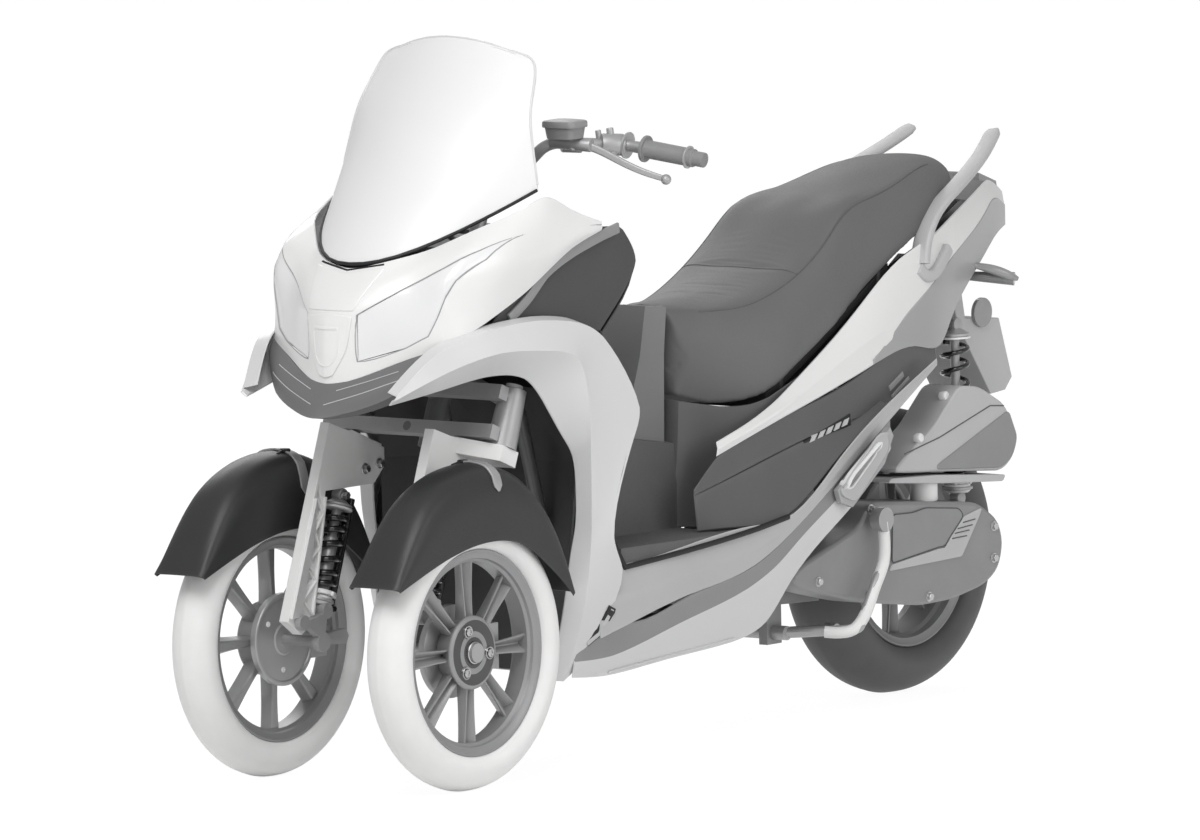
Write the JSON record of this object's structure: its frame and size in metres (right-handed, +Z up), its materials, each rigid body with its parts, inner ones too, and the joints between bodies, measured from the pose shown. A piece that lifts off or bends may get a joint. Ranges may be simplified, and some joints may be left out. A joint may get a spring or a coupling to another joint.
{
  "type": "reverse trike",
  "caption": "Tilting reverse trike scooter with paired leading-link front legs, windscreen, stepped dual seat over a storage tub, and a folding centre stand.",
  "frame": {"origin": "on the floor, under the middle of the machine's length and width", "axes": "+X runs forward, +Y to the rider's left, +Z up"},
  "size_m": [2.1464, 0.7658, 1.352],
  "materials": {
    "white_panel": "smooth gloss paint",
    "grey_panel": "fine grain",
    "dark_panel": "fine grain",
    "light_panel": "satin paint",
    "clear_screen": "clear",
    "lamp_lens": "clear ribbed lens",
    "cast_metal": "cast, satin",
    "wheel_metal": "satin grey",
    "frame_metal": "satin grey",
    "spring_metal": "black coils",
    "white_tyre": "white rubber",
    "grey_tyre": "dark rubber",
    "seat_cover": "soft grained cover",
    "grip_rubber": "ribbed"
  },
  "bodies": {
    "chassis": {"air_filter_box": "grey_panel", "beak": "grey_panel", "belt_cover": "cast_metal", "body_stays": "frame_metal", "console": "grey_panel", "dark_sides": "dark_panel", "dash": "dark_panel", "engine": "cast_metal", "floor": "dark_panel", "foot_pegs": "cast_metal", "frame_front": "frame_metal", "frame_rails": "frame_metal", "grab_rails": "frame_metal", "headlights": "lamp_lens", "inner_wall": "dark_panel", "leg_shield": "dark_panel", "lower_panels": "grey_panel", "muffler": "cast_metal", "nose_fairing": "white_panel", "plate_holder": "grey_panel", "rear_axle_arm": "cast_metal", "rear_shocks": "spring_metal", "seat_base": "grey_panel", "side_heads": "cast_metal", "sills": "light_panel", "skirts": "grey_panel", "storage_tub": "dark_panel", "tail_deck": "grey_panel", "tail_lights": "lamp_lens", "tail_sides": "white_panel", "tilt_arms": "frame_metal", "windscreen": "clear_screen", "wings": "light_panel"},
    "steering": {"handlebar": "frame_metal", "grips": "grip_rubber", "brake_controls": "dark_panel"},
    "left_front_leg": {"left_leg": "light_panel", "left_link": "cast_metal", "left_front_shock": "spring_metal", "left_fender": "dark_panel"},
    "right_front_leg": {"right_leg": "light_panel", "right_link": "cast_metal", "right_front_shock": "spring_metal", "right_fender": "dark_panel"},
    "front_left_wheel": {"front_left_rim": "wheel_metal", "front_left_tyre": "white_tyre"},
    "front_right_wheel": {"front_right_rim": "wheel_metal", "front_right_tyre": "white_tyre"},
    "rear_wheel": {"rear_rim": "wheel_metal", "rear_tyre": "grey_tyre"},
    "seat_lid": {"seat": "seat_cover"},
    "centre_stand": {"stand": "frame_metal"}
  },
  "joints": [
    {"name": "handlebar_steer", "type": "hinge", "parent": "chassis", "child": "steering", "pos_m": [0.57371, 0, 0.7], "axis": [-0.3746, 0, 0.9272], "range_deg": [-36, 36]},
    {"name": "left_leg_steer", "type": "hinge", "parent": "chassis", "child": "left_front_leg", "pos_m": [0.61387, 0.185, 0.66], "axis": [-0.3746, 0, 0.9272], "range_deg": [-36, 36]},
    {"name": "right_leg_steer", "type": "hinge", "parent": "chassis", "child": "right_front_leg", "pos_m": [0.61387, -0.185, 0.66], "axis": [-0.3746, 0, 0.9272], "range_deg": [-36, 36]},
    {"name": "front_left_spin", "type": "hinge", "parent": "left_front_leg", "child": "front_left_wheel", "pos_m": [0.81053, 0.229, 0.255], "axis": [0, 1, 0], "continuous": true},
    {"name": "front_right_spin", "type": "hinge", "parent": "right_front_leg", "child": "front_right_wheel", "pos_m": [0.81053, -0.229, 0.255], "axis": [0, 1, 0], "continuous": true},
    {"name": "rear_spin", "type": "hinge", "parent": "chassis", "child": "rear_wheel", "pos_m": [-0.76448, 0, 0.27], "axis": [0, 1, 0], "continuous": true},
    {"name": "seat_lift", "type": "hinge", "parent": "chassis", "child": "seat_lid", "pos_m": [-0.01556, 0, 0.8], "axis": [0, 1, 0], "range_deg": [0, 70]},
    {"name": "stand_swing", "type": "hinge", "parent": "chassis", "child": "centre_stand", "pos_m": [-0.31402, 0, 0.165], "axis": [0, -1, 0], "range_deg": [0, 80]}
  ],
  "couplings": [
    {"joint": "left_leg_steer", "follows": "handlebar_steer", "ratio": 1},
    {"joint": "right_leg_steer", "follows": "handlebar_steer", "ratio": 1}
  ]
}
